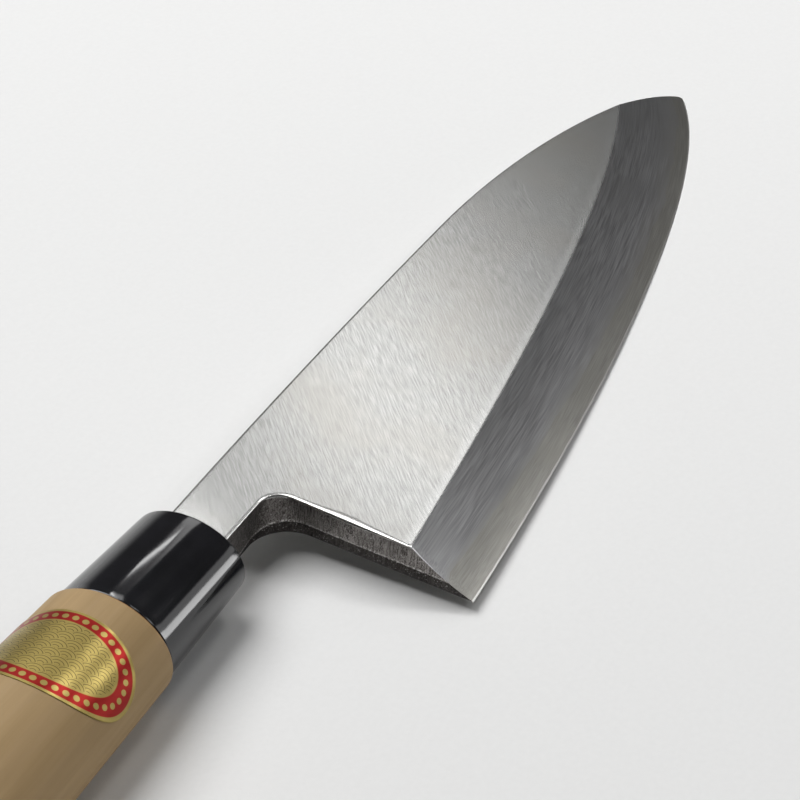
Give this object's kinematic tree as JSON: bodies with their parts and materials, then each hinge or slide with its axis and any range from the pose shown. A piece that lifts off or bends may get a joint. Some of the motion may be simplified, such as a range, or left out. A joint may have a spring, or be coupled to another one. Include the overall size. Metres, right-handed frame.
{
  "type": "deba knife",
  "caption": "Heavy single-bevel fish knife: thick laminated blade with a hollow-ground bevel and a burnt-in tang, black oval ferrule and tapered oval wooden handle with a foil seal.",
  "frame": {"origin": "centre of the knife's box in plan, at the height of its lowest point, the underside of the handle's butt", "axes": "+X along the handle's axis towards the blade's tip, +Y towards the spine, +Z out of the bevelled face"},
  "size_m": [0.3326, 0.066, 0.0269],
  "materials": {
    "soft_iron": "satin, cross-ground on the flat face",
    "hard_steel": "fine ground along the edge",
    "black_resin": "polished",
    "pale_wood": "bare, sanded",
    "amber_resin": "cast",
    "foil_paper": "gold and red foil"
  },
  "bodies": {
    "root": {"blade_body": "soft_iron", "edge_steel": "hard_steel", "ferrule": "black_resin", "handle": "pale_wood", "tang_seal": "amber_resin", "handle_label": "foil_paper"}
  },
  "joints": []
}
